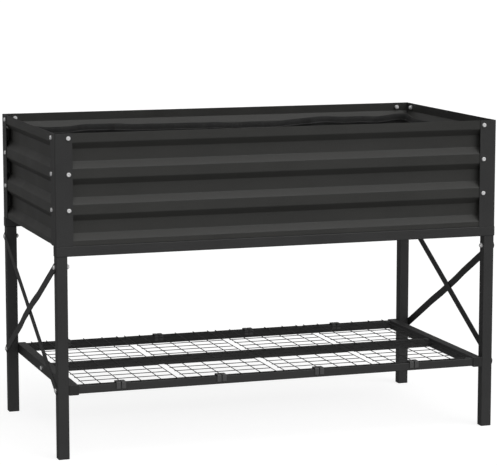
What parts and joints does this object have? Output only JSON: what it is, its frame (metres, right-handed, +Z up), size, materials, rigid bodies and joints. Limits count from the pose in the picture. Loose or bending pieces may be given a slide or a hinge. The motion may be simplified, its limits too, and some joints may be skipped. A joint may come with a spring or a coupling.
{
  "type": "raised planter on legs",
  "caption": "Rectangular ribbed sheet-metal planter box on tall square legs, with crossed end braces and a wire-mesh storage shelf below.",
  "frame": {"origin": "on the floor under the middle of the planter", "axes": "+X along the length of the box, +Y to its back, +Z up"},
  "size_m": [1.1692, 0.5916, 0.8],
  "materials": {
    "panel_paint": "satin powder coat over ribbed sheet",
    "frame_paint": "satin powder coat on tube and brackets",
    "brace_paint": "satin powder coat on flat bar",
    "wire_paint": "coated welded wire",
    "plug_plastic": "moulded, fine matte",
    "clip_plastic": "moulded, matte grey",
    "insert_plastic": "moulded",
    "bolt_steel": "bright zinc plated",
    "liner_fabric": "black non-woven felt"
  },
  "bodies": {
    "root": {"back_panel": "panel_paint", "bottom_rail_back": "frame_paint", "bottom_rail_front": "frame_paint", "bottom_rail_plugs": "plug_plastic", "corner_bolts": "bolt_steel", "corner_bracket_back_left": "frame_paint", "corner_bracket_back_right": "frame_paint", "corner_bracket_front_left": "frame_paint", "corner_bracket_front_right": "frame_paint", "corner_nuts": "bolt_steel", "floor_crossbar_1": "frame_paint", "floor_crossbar_2": "frame_paint", "floor_crossbar_3": "frame_paint", "floor_crossbar_4": "frame_paint", "floor_crossbar_5": "frame_paint", "floor_mesh_1": "wire_paint", "floor_mesh_2": "wire_paint", "floor_mesh_3": "wire_paint", "floor_mesh_4": "wire_paint", "foot_plug_back_left": "plug_plastic", "foot_plug_back_right": "plug_plastic", "foot_plug_front_left": "plug_plastic", "foot_plug_front_right": "plug_plastic", "front_panel": "panel_paint", "left_brace_inner": "brace_paint", "left_brace_outer": "brace_paint", "left_end_panel": "panel_paint", "leg_back_left": "frame_paint", "leg_back_right": "frame_paint", "leg_front_left": "frame_paint", "leg_front_right": "frame_paint", "leg_spigot_back_left": "frame_paint", "leg_spigot_back_right": "frame_paint", "leg_spigot_front_left": "frame_paint", "leg_spigot_front_right": "frame_paint", "liner": "liner_fabric", "lower_brace_bolts": "bolt_steel", "mesh_clips": "clip_plastic", "middle_rail_bolts": "bolt_steel", "right_brace_inner": "brace_paint", "right_brace_outer": "brace_paint", "right_end_panel": "panel_paint", "shelf_end_rail_left": "frame_paint", "shelf_end_rail_plugs": "plug_plastic", "shelf_end_rail_right": "frame_paint", "shelf_mesh_1": "wire_paint", "shelf_mesh_2": "wire_paint", "shelf_mesh_3": "wire_paint", "shelf_mesh_4": "wire_paint", "shelf_rail_back": "frame_paint", "shelf_rail_front": "frame_paint", "shelf_rail_inserts": "insert_plastic", "shelf_rail_middle": "frame_paint", "upper_brace_bolts": "bolt_steel", "upper_brace_nuts": "bolt_steel"}
  },
  "joints": []
}
